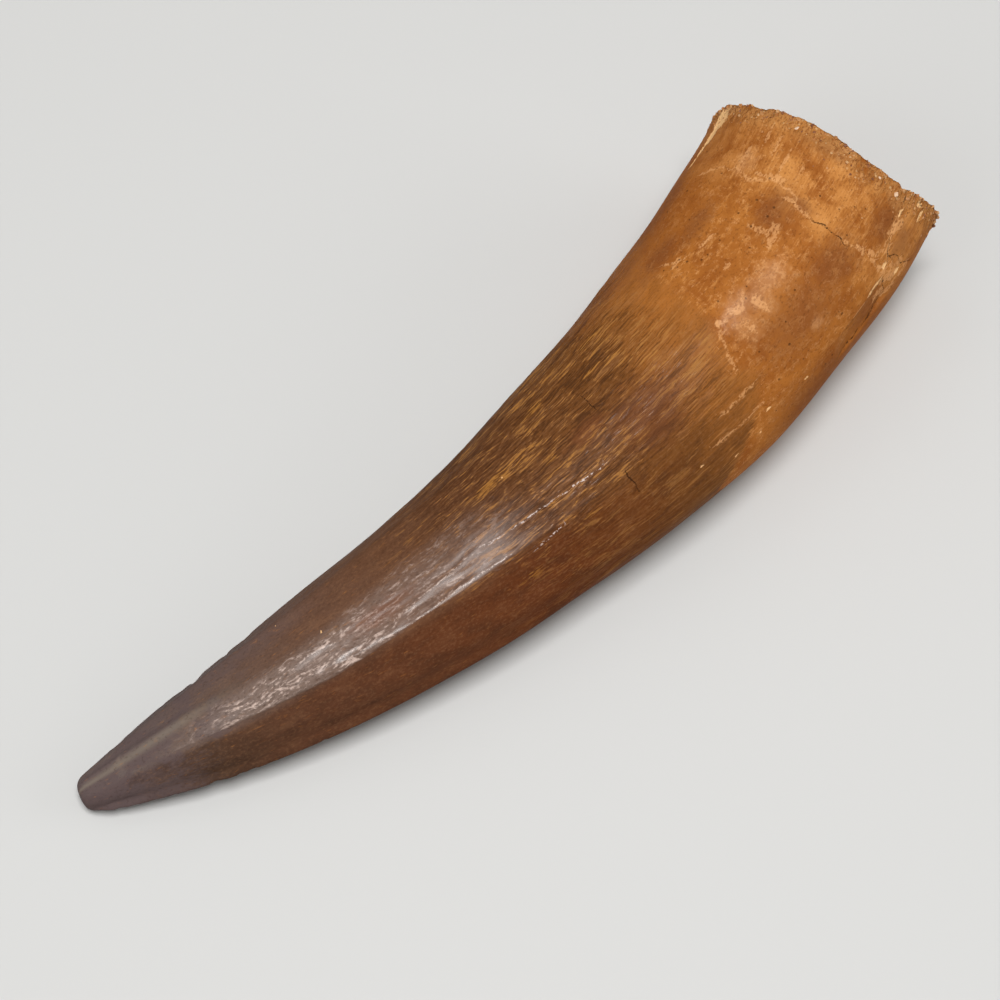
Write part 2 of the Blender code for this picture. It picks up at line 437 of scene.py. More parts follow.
def root_zone(distance, around):
    """1 on the amber root, 0 on the crown."""
    return smooth_step(*ROOT_LINE_BLEND, 1000.0 * distance - look_up(ROOT_LINE, fold(around)))


def belly_zone(distance, around):
    """1 on the smooth dark flank outside the bend."""
    edge = BELLY_ANGLE + stairs(BELLY_SHIFT, 1000.0 * distance)
    return smooth_step(*BELLY_SOFT, fold(around) - edge)


def root_side_shade_zone(distance, around):
    """1 on both sides of the root, where shade is painted, 0 on its broad faces."""
    return stairs(ROOT_SIDE_SHADE, fold(around)) * smooth_step(*ROOT_SIDE_SHADE_RISE, 1000.0 * distance)


def tip_edge_zone(distance, around):
    """1 on the purple facet between the tip's pale ridge and the inner cutting edge."""
    return smooth_step(*TIP_EDGE_ANGLES, fold(around)) * smooth_step(*TIP_EDGE_FADE, 1000.0 * distance)


def tip_ridge_highlight_zone(distance, around):
    """1 on the ridge that runs back from the tip between the two upper facets, painted pale as a highlight.
    """
    across = hump(fold(around) - TIP_RIDGE_ANGLE, TIP_RIDGE_WIDTH)
    return across * smooth_step(*TIP_RIDGE_FADE, 1000.0 * distance)


print("silk band at 40 mm:", float(silk_zone(np.array([0.040]), np.array([math.radians(100.0)]))[0]))

# %% [markdown]
# ## Lines drawn on the skin
#
# Cracks, veins and crests are drawn as short lists of points, in millimetres from the tip and
# degrees round the tooth. For each point of the skin the nearest place on a line is found, and the gap
# is kept with a sign that says on which side it lies. A gap with a sign passes evenly through zero between
# two vertices, so the shader can draw a crack much thinner than the mesh.

# %% Lines drawn on the skin
VEINS = (
    ((86.9, 40), (88, 50), (88.2, 61), (87.3, 68), (88.4, 78), (88.1, 89), (87, 94), (86.6, 103)),
    ((87.1, 122), (87.4, 128), (88, 134), (87.8, 141), (88.3, 149)),
    ((75.5, 55), (76, 59), (77.1, 63)),
    ((78.6, 66.5), (80.6, 69)),
    ((71.3, 119), (71.7, 112), (72.4, 104), (73.1, 98)),
    ((88, 141), (89.5, 143), (91.2, 140), (93.6, 141)),
    ((94.6, 138), (92.6, 140.5), (91, 142.5), (89.8, 146.5), (88.8, 152)),
    ((65.6, 143), (68.6, 144.5), (71.4, 145)),
    ((67.8, 132), (69.8, 132.5), (71.8, 132)),
    ((87.6, 218), (88.4, 236), (87.2, 252), (88.6, 270), (87.4, 292), (86.2, 310)),
)
CRACKS = (
    ((59.5, 74), (59.4, 80)),
    ((57.4, 120), (57.6, 127), (57.4, 133)),
    ((95.6, 136), (94.4, 138.5)),
    ((90.4, 144), (89.8, 146.5), (89.2, 150)),
    ((86.7, 104), (87, 113), (86.9, 122)),
    ((89.6, 149), (90.5, 154), (90.4, 161), (91.6, 168)),
    ((87.8, 157), (87.6, 165), (84.5, 168), (80.5, 167)),
    ((62, 246), (60.6, 258), (61.4, 276)),
    ((74, 205), (79, 209), (86, 206)),
)
# Crests are real ridges in the mesh, and a painted highlight is also drawn along them.
CRESTS = (
    ((33, 105), (38, 101.5), (42.5, 99), (44.5, 101.5), (49, 103.5), (56, 108)),
    ((20.3, 96.5), (22.5, 95), (24, 92.8), (26.2, 94.5)),
    ((19.8, 102.5), (23, 103.5), (24.6, 106), (26.6, 104)),
    ((16.2, 100), (18.2, 102)),
    ((34, 114.2), (39, 112.4), (44.5, 114)),
    ((46.8, 121), (49.6, 119.6)),
)
LINE_REACH = 0.9  # mm
LINE_FADE = (0.8, 0.5)


def line_gap(distance, around, line):
    """The signed gap in millimetres from each point to a line, and how far past its ends it lies."""
    along = 1000.0 * distance
    radius = radius_mm(distance)
    nearest = np.full(along.shape, np.inf)
    signed = np.zeros(along.shape)
    for (from_along, from_angle), (to_along, to_angle) in zip(line[:-1], line[1:]):
        step_along = to_along - from_along
        step_round = radius * math.radians(to_angle - from_angle)
        off_along = along - from_along
        off_round = radius * angle_between(around, math.radians(from_angle))
        part = (off_along * step_along + off_round * step_round) / (step_along**2 + step_round**2)
        part = np.clip(part, 0, 1)
        gap = np.hypot(off_along - part * step_along, off_round - part * step_round)
        side = np.sign(step_along * off_round - step_round * off_along)
        closer = gap < nearest
        nearest = np.where(closer, gap, nearest)
        signed = np.where(closer, gap * side, signed)
    return signed, nearest


def drawn_lines(distance, around, lines):
    """For each point, the signed gap to its nearest line and a mask that is 1 near any line."""
    gap = np.full(distance.shape, LINE_REACH)
    for line in lines:
        signed, nearest = line_gap(distance, around, line)
        gap = np.where(nearest < np.abs(gap), signed, gap)
    near = smooth_step(*LINE_FADE, np.abs(gap) / LINE_REACH)
    return gap, near


print("veins, cracks, crests:", len(VEINS), len(CRACKS), len(CRESTS))

# %% [markdown]
# ## Patches
#
# Flaked, stained and chipped places are ovals with a number that is 1 in the middle and 0 at the edge, and
# so are the pale patches, whose pale colour on the crest of the root is a painted highlight. The oval itself
# is
# never seen: the shader adds noise to the number before it cuts, which tears the outline into a natural one.

# %% Patches
# Each oval: distance, angle, half length, half breadth in millimetres.
# Pale patches; those on the crest of the root, 73 to 81 mm from the tip, are a painted highlight.
PALE_AND_HIGHLIGHT_PATCHES = (
    (76, 101, 1.6, 1.1), (77.4, 106, 1.5, 1.3), (74.9, 107, 1.3, 1.5), (75, 115, 0.8, 0.6),
    (77.5, 111, 0.8, 0.8), (79.8, 104, 1.6, 1.2), (79.8, 136, 0.5, 0.5),
    (89.3, 62, 1.2, 0.8), (94.8, 101, 0.9, 1), (76, 250, 2, 1.6), (70, 300, 1.2, 0.7),
)
FLAKES = (
    (83.1, 85, 0.35, 0.8), (83.2, 88.5, 0.35, 0.8), (83.8, 91.6, 0.8, 0.35), (82.9, 94, 0.9, 0.25),
    (75.4, 101, 0.8, 0.3), (77.3, 104.5, 0.7, 0.25), (77.2, 108, 0.3, 0.9), (75, 113, 0.25, 0.7),
    (78.3, 84, 0.45, 0.22), (73.2, 98.5, 0.4, 0.25), (96, 36, 0.5, 1.3), (88, 147, 0.5, 0.3),
    (88.3, 151.5, 0.7, 0.3), (87.6, 155, 0.9, 0.25), (89.3, 154, 0.3, 0.5), (88.9, 160, 0.6, 0.35),
    (88, 165, 1.2, 0.35), (90.6, 166, 1.1, 0.3), (91.6, 142.2, 0.8, 0.3), (90, 145.5, 0.6, 0.25),
    (76.4, 60.5, 0.9, 0.22), (79.4, 67.5, 0.7, 0.12), (74.5, 77, 0.5, 0.1), (88.4, 72, 0.2, 0.6),
    (88.7, 80, 0.3, 0.8), (87.2, 90, 0.2, 0.7), (90.6, 79, 1.6, 0.16), (92, 72, 1.6, 0.14),
    (91, 88, 1.3, 0.14), (90.2, 60, 1.2, 0.22), (92.8, 66, 1.4, 0.16), (94.8, 101, 0.5, 0.6),
    (93.3, 113, 0.3, 0.3), (87.6, 131, 0.3, 0.6), (88.2, 137, 0.3, 0.6), (84.2, 153.5, 1.2, 0.15),
    (88.3, 156.5, 1, 0.5), (86.8, 161, 0.9, 0.4), (90.3, 158.5, 0.6, 0.4), (92.4, 144, 0.7, 0.3),
    (76, 250, 1.2, 0.8), (82, 285, 0.8, 0.5), (91, 262, 0.9, 0.4), (88, 300, 1, 0.3),
)
CREAM_CHIPS = (
    (95.3, 28.5, 1.5, 1.1), (93.3, 26.3, 1.7, 0.65), (91.2, 24.5, 1.6, 0.3), (89.5, 24, 1.3, 0.2),
    (93.2, 140.5, 0.4, 0.2), (95.4, 149, 0.4, 0.4), (88.6, 149.5, 0.4, 0.25), (87.4, 153.5, 0.5, 0.2),
    (94.8, 154, 0.7, 0.2), (86.4, 153, 1.1, 0.16), (89.6, 161, 0.4, 0.25), (63.5, 147, 0.25, 0.12),
    (71.6, 151, 0.5, 0.12), (76.2, 155.5, 0.3, 0.15), (66.9, 160, 0.4, 0.1), (70, 160, 0.3, 0.1),
    (26.3, 81.5, 0.16, 0.2), (23.3, 45, 0.13, 0.16), (48.4, 74, 0.2, 0.15), (61.8, 65.5, 0.2, 0.2),
    (95, 232, 1.4, 1.2), (94.6, 312, 1.2, 0.9), (88, 205, 0.9, 0.4), (96, 262, 0.7, 1),
)
GOLD_PATCHES = (
    (70.4, 107, 2, 1.3), (71.3, 98, 1.5, 1.6), (69, 103, 2, 0.5), (52.6, 124.5, 1.7, 0.35),
    (45.3, 134, 1.9, 0.8), (55.6, 53.5, 2, 0.9), (61.6, 64.5, 2.4, 0.35), (53, 86, 1.6, 0.5),
    (79.6, 47, 2.6, 1.6), (64.6, 49, 2.6, 0.5), (47, 72, 3, 0.8), (60, 300, 2.6, 1.2),
    (54, 270, 2.2, 0.7), (66, 250, 3, 1.4), (50, 232, 2, 0.6), (27.3, 87, 1.9, 0.6),
)
PLUM_PATCHES = (
    (91.6, 136, 2.2, 1.6), (91.4, 151, 1.6, 1.3), (85.2, 161, 2.6, 1.5), (76.5, 168, 4.5, 2.6),
    (85.6, 87, 2.4, 1.4), (63, 104, 3.6, 2.6), (57.5, 88, 2, 0.8), (81, 57, 2.6, 1),
    (87.4, 96, 0.6, 1.2), (95.6, 61, 0.7, 0.9), (84, 24, 3.2, 1.4), (32, 96, 3, 0.8),
    (79, 127, 5, 2.6), (84.6, 124, 3, 2), (76, 48, 3, 1.4), (94, 92, 1, 1.8),
    (85, 6, 7, 1), (72, 26, 7, 2.6), (78.5, 20, 4.5, 2), (83, 230, 3, 2),
    (68, 274, 3.6, 2), (90, 290, 2, 1.6),
)


def oval_field(distance, around, ovals):
    """1 in the middle of an oval, 0 at its edge, and below 0 outside, down to -3."""
    radius = radius_mm(distance)
    field = np.full(distance.shape, -3.0)
    for along, angle, half_long, half_broad in ovals:
        off_along = (1000.0 * distance - along) / half_long
        off_round = radius * angle_between(around, math.radians(angle)) / half_broad
        field = np.maximum(field, 1.0 - np.hypot(off_along, off_round))
    return field


print("patches:", [len(group) for group in (PALE_AND_HIGHLIGHT_PATCHES, FLAKES, CREAM_CHIPS, GOLD_PATCHES, PLUM_PATCHES)])

# %% [markdown]
# ## Fine relief
#
# The solid stops at about a millimetre. Here the mesh takes over: nicks in the cutting edges, wavy flutes
# between the streaks, wrinkled silk on the crest, pores in the root and sandy crumbs at the break. The
# noise is read where the point would be if the tooth were straight, which lets one noise be drawn out
# along the tooth into flutes and another stay round for crumbs. Blender's own noise function is called
# once for each vertex.

# %% Fine relief
FLUTE_HEIGHT = 0.00006
SILK_HEIGHT = 0.000045
PORE_DEPTH = 0.00005
CRUMB_HEIGHT = 0.00020
CRUMB_REACH = 0.0055
CHIP_DEPTH = 0.00012
CREST_HEIGHT = 0.00004
GROOVE_DEPTH = 0.00008
VEIN_DEPTH = 0.000032
GROOVE_WIDTH = 0.25  # mm
NICK_DEPTH = 0.00030
NICK_START = (0.001, 0.003)
NICK_END = 0.030
NICK_REACH = 0.35
CHIP_START = (0.080, 0.085)
CHIP_EDGE = 0.35
CHIP_TEARING = 0.25
SWAY_REACH = 0.15  # mm
RIPPLE_SHARE = 0.7
GRIT_SHARE = 0.6
RUN_SHARE = 0.3
PORE_SHIFT = 0.25
# Each noise: its size in millimetres along and across the tooth, and its seed.
SWAY = ((3, 2.5), 11)
FLUTES = ((8, 0.9), 3)
RIPPLES = ((2.6, 0.5), 29)
WRINKLES = ((3.4, 0.6), 7)
PORES = ((0.8, 0.8), 17)
CRUMBS = ((0.9, 0.9), 23)
GRIT = ((0.45, 0.45), 31)
NICKS = ((0.9, 3), 57)
NICK_RUNS = ((3.5, 3), 59)


def straightened(distance, spread, around):
    """Where each point would be, in millimetres, if the tooth were straight."""
    radius = radius_mm(distance) * spread
    return np.stack([1000.0 * distance, radius * np.cos(around), radius * np.sin(around)], axis=-1)


def noise_at(places, grain, seed):
    """Smooth noise from about -1 to 1. Grain is its size in millimetres along and across the tooth."""
    scaled = places / np.array([grain[0], grain[1], grain[1]]) + seed
    values = [noise.noise(Vector(place)) for place in scaled.reshape(-1, 3)]
    return np.array(values).reshape(places.shape[:-1])


def fine_relief(distance, around, places):
    """The height of everything that is smaller than the ridges of the solid."""
    bent = places.copy()
    bent[..., 1:] += SWAY_REACH * noise_at(places, *SWAY)[..., None]
    flutes = 1.0 - 2.0 * np.abs(noise_at(bent, *FLUTES))
    flutes = flutes + RIPPLE_SHARE * noise_at(bent, *RIPPLES)
    wrinkles = 1.0 - 3.0 * np.abs(noise_at(bent, *WRINKLES))
    pores = np.minimum(0.0, noise_at(places, *PORES) + PORE_SHIFT)
    crumbs = noise_at(places, *CRUMBS) + GRIT_SHARE * noise_at(places, *GRIT)
    to_break = AXIS_LENGTH + break_height(1.0, around) - distance
    sandy = 1.0 - smooth_step(0.0, CRUMB_REACH, to_break)
    nicks = np.maximum(0.0, noise_at(places, *NICKS) + RUN_SHARE * noise_at(places, *NICK_RUNS))
    nicks = nicks * hump(np.sin(around), NICK_REACH) * smooth_step(*NICK_START, distance)
    nicks = nicks * (1.0 - smooth_step(0.5 * NICK_END, NICK_END, distance))
    chips = smooth_step(0.0, CHIP_EDGE, oval_field(distance, around, CREAM_CHIPS) + CHIP_TEARING * crumbs)
    layers = (
        (FLUTE_HEIGHT, flutes * streak_zone(distance, around)),
        (SILK_HEIGHT, wrinkles * silk_zone(distance, around)),
        (PORE_DEPTH, pores * root_zone(distance, around)),
        (CRUMB_HEIGHT, crumbs * sandy**2),
        (-NICK_DEPTH, nicks),
        (-CHIP_DEPTH, chips * smooth_step(*CHIP_START, distance)),
    )
    height = sum(tall * layer for tall, layer in layers)
    for lines, tall in ((CRESTS, CREST_HEIGHT), (CRACKS, -GROOVE_DEPTH), (VEINS, -VEIN_DEPTH)):
        gap, near = drawn_lines(distance, around, lines)
        height = height + tall * near * hump(gap, GROOVE_WIDTH)
    return height


print("flutes stand", 1e6 * FLUTE_HEIGHT, "thousandths of a millimetre high")

# %% [markdown]
# ## The skin as a globe
#
# The mesh is a globe whose poles lie at the tip and in the middle of the break. Its rings close round the
# blunt nose, run along the sides and turn in over the broken face, so the skin is one closed sheet. A
# grid of rings and segments could also be drawn out of a cylinder with modifiers, but then the rings would
# not follow the bend.

# %% The skin as a globe
NOSE_START = -0.0005
NOSE_DEPTH = 0.0012
NOSE_POWER = 0.72
EDGE_CROWDING = 0.10
END_CROWDING = 0.06
SEGMENTS = 320
NOSE_RINGS = 12
BODY_RINGS = 270
BREAK_RINGS = 22


def ring_table(around):
    """The distance and the spread of every ring, from the tip to the middle of the break."""
    turn = np.linspace(0.0, math.pi / 2.0, NOSE_RINGS + 1)[:, None]
    nose_spread = np.sin(turn) ** NOSE_POWER
    nose = NOSE_START + NOSE_DEPTH * (1.0 - np.cos(turn) ** NOSE_POWER)
    nose = np.broadcast_to(nose, (len(turn), around.size))
    share = np.linspace(0.0, 1.0, BODY_RINGS + 1)[1:, None]
    start = NOSE_START + NOSE_DEPTH
    body = start + (AXIS_LENGTH - start) * (share - END_CROWDING * np.sin(2.0 * math.pi * share))
    rim = break_height(1.0, around) * smooth_step(AXIS_LENGTH - RIM_REACH, AXIS_LENGTH, body)
    spread = np.linspace(1.0, 0.0, BREAK_RINGS + 1)[1:, None]
    face = AXIS_LENGTH + break_height(spread, around)
    distances = np.concatenate([nose, body + rim, face])
    spreads = np.concatenate([nose_spread, np.ones(share.shape), spread])
    return distances, np.broadcast_to(spreads, distances.shape)


def skin_points(distance, spread, around):
    """The points of the skin, before the tooth is laid down."""
    x, y, heading = bent_axis(distance)
    half_width, half_depth = cross_section(distance)
    relief = keels(distance, around) + facet_ridges(distance, around)
    relief = relief + lumps(distance, around) - spalls(distance, around)
    relief = relief + fine_relief(distance, around, straightened(distance, spread, around))
    out_across, out_up = np.cos(around) / half_width, np.sin(around) / half_depth
    length = np.hypot(out_across, out_up)
    across = spread * (half_width * np.cos(around) + relief * out_across / length)
    up = spread * (half_depth * np.sin(around) + relief * out_up / length)
    return np.stack([x - np.sin(heading) * across, y + np.cos(heading) * across, up + half_depth], axis=-1)


turns = np.linspace(0.0, 2.0 * math.pi, SEGMENTS, endpoint=False)
around = ((turns - EDGE_CROWDING * np.sin(2.0 * turns)) % (2.0 * math.pi))[None, :]
distances, spreads = ring_table(around)
around = np.broadcast_to(around, distances.shape)
points = skin_points(distances, spreads, around)
print("rings and segments:", points.shape[:2])

# %% [markdown]
# ## Crumbs on the break
#
# The broken face is rougher than the sides. Its points are pushed in and out along the axis by noise of
# three sizes. The push is weaker at the rim and fades out on the skin a millimetre behind it, so that the
# edge is ragged too.

# %% Crumbs on the break
FACE_CRUMBS = ((2.4, 0.00035), (1.1, 0.00024), (0.5, 0.00012))
FACE_SEED = 41
FACE_BLEND = 0.12
RIM_PUSH = 0.6
RIM_BLEND = 0.0014

root_half = distances > 0.5 * AXIS_LENGTH
face_places = straightened(distances, spreads, around)
inside = smooth_step(0.0, FACE_BLEND, 1.0 - spreads) * root_half
gap_to_rim = AXIS_LENGTH + break_height(1.0, around) - distances
at_rim = RIM_PUSH * (1.0 - smooth_step(0.0, RIM_BLEND, np.abs(gap_to_rim))) * (spreads == 1.0)
ragged = np.maximum(at_rim, (RIM_PUSH + (1.0 - RIM_PUSH) * inside) * (spreads < 1.0)) * root_half
push = ragged * sum(tall * noise_at(face_places, (size, size), FACE_SEED) for size, tall in FACE_CRUMBS)
heading = bent_axis(distances)[2]
forward = np.stack([np.cos(heading), np.sin(heading), np.zeros_like(heading)], axis=-1)
points = points + push[..., None] * forward
print("crumbs reach", round(1000.0 * float(np.abs(push).max()), 2), "mm")

# %% [markdown]
# ## Laid on its side
#
# The tooth rolls a little, so that it rests, and what would sink into the table is worn flat. Then it is
# moved until its box is where the solid's box is. The faces are quads between the rings and triangles
# round the two poles.

# %% Laid on its side
LIE_ROLL = math.radians(1.2)
REST_FLAT = 0.0003


def lie_down(points):
    """Rolls the tooth, wears it flat where it touches, and puts it in the solid's box."""
    rolled = points @ np.array(Matrix.Rotation(LIE_ROLL, 3, "X")).T
    low, high = rolled.min(axis=(0, 1)), rolled.max(axis=(0, 1))
    middle = (low + high) / 2.0
    goal = (Vector(tooth_low) + Vector(tooth_high)) / 2.0
    placed = rolled + np.array([goal.x - middle[0], goal.y - middle[1], -low[2] - REST_FLAT])
    placed[..., 2] = np.maximum(placed[..., 2], 0.0)
    return placed


def globe_faces(rings, segments):
    """Quads between neighbouring rings and triangles at both poles. Vertex 0 is the first pole."""
    start = 1 + segments * np.arange(rings)[:, None]
    here = start + np.arange(segments)
    after = start + (np.arange(segments) + 1) % segments
    quads = np.stack([here[:-1], after[:-1], after[1:], here[1:]], axis=-1).reshape(-1, 4)
    last = 1 + rings * segments
    first_fan = [(0, b, a) for a, b in zip(here[0], after[0])]
    last_fan = [(last, a, b) for a, b in zip(here[-1], after[-1])]
    return first_fan + quads.tolist() + last_fan


def globe_vertices(grid):
    """One row for each vertex of the globe, from a grid whose first and last rings are the poles."""
    inner = grid[1:-1].reshape((-1,) + grid.shape[2:])
    return np.concatenate([grid[:1, 0], inner, grid[-1:, 0]])


placed = lie_down(points)
skin_mesh = bpy.data.meshes.new("fossil_tooth")
faces = globe_faces(len(placed) - 2, SEGMENTS)
skin_mesh.from_pydata(globe_vertices(placed).tolist(), [], [tuple(map(int, face)) for face in faces])
skin_mesh.validate()
skin_mesh.shade_smooth()
tooth = show("fossil_tooth", skin_mesh)
print("triangles:", sum(len(face.vertices) - 2 for face in skin_mesh.polygons))

# %% [markdown]
# ## Numbers for the shaders
#
# Each zone, line and patch is stored on the vertices under its own name, and an Attribute node reads it
# back. The straightened place is stored too, in millimetres, so that a noise can be stretched along the
# tooth and still follow its bend.

# %% Numbers for the shaders
def store(name, values):
    """Keeps one number, or one vector, for every vertex of the tooth."""
    kind, field = ("FLOAT_VECTOR", "vector") if values.ndim == 3 else ("FLOAT", "value")
    layer = skin_mesh.attributes.new(name, kind, "POINT")
    layer.data.foreach_set(field, globe_vertices(values).astype(np.float32).ravel())


ZONES = {
    "silk": silk_zone, "streaks": streak_zone, "root": root_zone, "belly": belly_zone,
    "root_side_shade": root_side_shade_zone, "tip_edge": tip_edge_zone, "tip_ridge_highlight": tip_ridge_highlight_zone,
}
LINES = {"vein": VEINS, "crack": CRACKS, "crest": CRESTS}
OVALS = {
    "flake": FLAKES, "pale": PALE_AND_HIGHLIGHT_PATCHES, "cream": CREAM_CHIPS, "gold": GOLD_PATCHES, "plum": PLUM_PATCHES,
}

store("straight_mm", straightened(distances, spreads, around))
store("to_break_mm", 1000.0 * gap_to_rim)
store("spread", spreads)
for name, zone in ZONES.items():
    store(name, zone(distances, around))
for name, lines in LINES.items():
    gap, near = drawn_lines(distances, around, lines)
    store(name + "_gap", gap)
    store(name + "_near", near)
for name, ovals in OVALS.items():
    store(name, oval_field(distances, around, ovals))
print("stored:", len(skin_mesh.attributes), "layers")

# %% [markdown]
# ## Small tools for node trees
#
# A node tree is easier to read in code when one line makes one node, so a few helpers do the wiring. They
# all work on the tree that lies on the bench. A value that is itself an output of another node is linked,
# and any other value is typed into the socket.

# %% Small tools for node trees
bench = {"tree": None}


def connect(value, socket):
    """Links a node's output to a socket, or types a plain value into it. Colours are opaque."""
    if isinstance(value, bpy.types.NodeSocket):
        bench["tree"].links.new(value, socket)
    else:
        socket.default_value = (*value, 1) if socket.type == "RGBA" else value


def put(kind, inputs=None, **settings):
    """Adds a node, applies its settings, and feeds its inputs from numbers or from other nodes."""
    made = bench["tree"].nodes.new(kind)
    for name, value in settings.items():
        setattr(made, name, value)
    for key, value in (inputs or {}).items():
        connect(value, made.inputs[key])
    return made


def calc(operation, first, second=0, third=0):
    """The output of one Math node."""
    return put("ShaderNodeMath", {0: first, 1: second, 2: third}, operation=operation).outputs[0]


def shift(operation, first, second):
    """The output of one Vector Math node."""
    key = "Scale" if operation == "SCALE" else 1
    return put("ShaderNodeVectorMath", {0: first, key: second}, operation=operation).outputs[0]


def times(*values):
    """The product of several values."""
    return reduce(lambda first, second: calc("MULTIPLY", first, second), values)


def either(*values):
    """The largest of several masks."""
    return reduce(lambda first, second: calc("MAXIMUM", first, second), values)


def plus(value, share, added, middle=0.5):
    """A value with a share of another added to it, counted from that one's middle."""
    return calc("MULTIPLY_ADD", calc("SUBTRACT", added, middle), share, value)


def between(value, low, high, start=0, end=1):
    """Start where value is low, end where it is high, and a smooth change between."""
    inputs = {"Value": value, "From Min": low, "From Max": high, "To Min": start, "To Max": end}
    return put("ShaderNodeMapRange", inputs, interpolation_type="SMOOTHSTEP").outputs["Result"]


def tint(share, under, over):
    """The colour under, covered by the colour over as far as share says."""
    return put("ShaderNodeMix", {0: share, 6: under, 7: over}, data_type="RGBA").outputs[2]


def cover(colour, *layers):
    """A colour under layers, the first one lowest. Each layer is its share and its colour."""
    for share, over in layers:
        colour = tint(share, colour, over)
    return colour


def bump(height, unit):
    """The normal of a surface with this relief. Unit is the length in metres that a height of 1 means."""
    return put("ShaderNodeBump", {"Height": height, "Distance": unit, "Strength": 1.0}).outputs["Normal"]


def ramp(value, stops):
    """A colour that changes evenly from one stop to the next."""
    made = put("ShaderNodeValToRGB", {0: value})
    elements = made.color_ramp.elements
    while len(elements) < len(stops):
        elements.new(1)
    for element, (position, colour) in zip(elements, stops):
        element.position = position
        element.color = (*colour, 1)
    return made.outputs["Color"]


def read(name, output="Fac"):
    """What was stored on the vertices under this name."""
    return put("ShaderNodeAttribute", attribute_name=name).outputs[output]


def new_group(name, output, **inputs):
    """An empty node group with named sockets, laid on the bench. An input without a value is a vector."""
    group = bpy.data.node_groups.new(name, "ShaderNodeTree")
    bench["tree"] = group
    for socket, value in inputs.items():
        kind = "NodeSocketVector" if value is None else "NodeSocketFloat"
        made = group.interface.new_socket(socket, in_out="INPUT", socket_type=kind)
        if value is not None:
            made.default_value = value
    group.interface.new_socket(output, in_out="OUTPUT", socket_type="NodeSocketFloat")
    return group, put("NodeGroupInput").outputs, put("NodeGroupOutput").inputs[output]


def new_finish(name):
    """An empty material, laid on the bench, and the sockets of its Principled shader."""
    finish = bpy.data.materials.new(name)
    finish.use_nodes = True
    bench["tree"] = finish.node_tree
    return finish, finish.node_tree.nodes["Principled BSDF"].inputs


def use(group, **inputs):
    """Places a group and gives its first output."""
    made = put("ShaderNodeGroup", node_tree=group)
    for key, value in inputs.items():
        connect(value, made.inputs[key])
    return made.outputs[0]


print("node helpers ready")

# %% [markdown]
# ## Grain, torn edges, pores and hairlines
#
# Four effects come back again and again in the finishes of this tooth. Grain is noise that may be drawn
# out along the tooth and may wander from side to side. A torn edge cuts a soft number into a ragged patch.
# Pores are small round dots. A hairline turns a signed gap into a thin wobbling line. Each is a group with
# its own sockets, built once and placed with other values each time.

# %% Grain
grain_group, grain_in, grain_out = new_group(
    "tooth_grain", "Grain", Place=None, Along=1, Across=1, Wander=0, Detail=3, Seed=0
)
slow = put("ShaderNodeTexNoise", {"Vector": grain_in["Place"], "Scale": 0.45, "Detail": 1.0})
sway = shift("SUBTRACT", slow.outputs["Color"], (0.5, 0.5, 0.5))
moved = shift("ADD", grain_in["Place"], shift("SCALE", sway, grain_in["Wander"]))
size = put("ShaderNodeCombineXYZ", {0: grain_in["Along"], 1: grain_in["Across"], 2: grain_in["Across"]})
shrunk = shift("ADD", shift("DIVIDE", moved, size.outputs[0]), grain_in["Seed"])
noise_inputs = {"Vector": shrunk, "Scale": 1, "Detail": grain_in["Detail"], "Roughness": 0.6}
connect(put("ShaderNodeTexNoise", noise_inputs).outputs["Fac"], grain_out)


def grain(place, along, across, wander, detail, seed):
    """Noise of this size along and across the tooth, in the unit of the place."""
    return use(grain_group, Place=place, Along=along, Across=across, Wander=wander, Detail=detail, Seed=seed)


print("nodes in the grain:", len(grain_group.nodes))

# %% Torn edge
torn_group, torn_in, torn_out = new_group(
    "torn_edge", "Mask", Field=0, Noise=0.5, Tearing=0.8, Softness=0.2
)
ragged = plus(torn_in["Field"], torn_in["Tearing"], torn_in["Noise"])
torn_low = calc("MULTIPLY", torn_in["Softness"], -1)
connect(between(ragged, torn_low, torn_in["Softness"]), torn_out)


def torn(name, noise, tearing, softness=0.2):
    """The patches stored under this name, with their outline torn by a noise."""
    return use(torn_group, Field=read(name), Noise=noise, Tearing=tearing, Softness=softness)


print("nodes in the torn edge:", len(torn_group.nodes))

# %% Pores
pore_group, pore_in, pore_out = new_group(
    "tooth_pores", "Mask", Place=None, Spacing=1, Size=0.25, Share=0.5, Softness=0.6
)
pore_scale = calc("DIVIDE", 1, pore_in["Spacing"])
cells = put("ShaderNodeTexVoronoi", {"Vector": pore_in["Place"], "Scale": pore_scale})
draw = put("ShaderNodeSeparateColor", {0: cells.outputs["Color"]})
chosen = calc("LESS_THAN", draw.outputs[0], pore_in["Share"])
pore_size = times(pore_in["Size"], calc("MULTIPLY_ADD", draw.outputs[1], 0.8, 0.4))
pore_core = times(pore_size, calc("SUBTRACT", 1, pore_in["Softness"]))
dot = between(cells.outputs["Distance"], pore_size, pore_core)
connect(times(dot, chosen), pore_out)


def dots(place, spacing, size, share, softness=0.6):
    """Round dots, this far apart and this large against that, in this share of all the places."""
    return use(pore_group, Place=place, Spacing=spacing, Size=size, Share=share, Softness=softness)


print("nodes in the pores:", len(pore_group.nodes))

# %% Hairline
hair_group, hair_in, hair_out = new_group(
    "hairline", "Mask", Gap=1, Near=0, Noise=0.5, Wobble=0.5, Width=0.1
)
wobbled = plus(hair_in["Gap"], hair_in["Wobble"], hair_in["Noise"])
far = calc("ABSOLUTE", wobbled)
thin = between(far, hair_in["Width"], times(hair_in["Width"], 0.3))
connect(times(thin, hair_in["Near"]), hair_out)


def drawn(name, wobble, width, low, high):
    """A hairline along the lines stored under this name, broken where the freckles are low."""
    gap, near = read(name + "_gap"), read(name + "_near")
    line = use(hair_group, Gap=gap, Near=near, Noise=tear, Wobble=wobble, Width=width)
    return times(line, between(freckle, low, high))


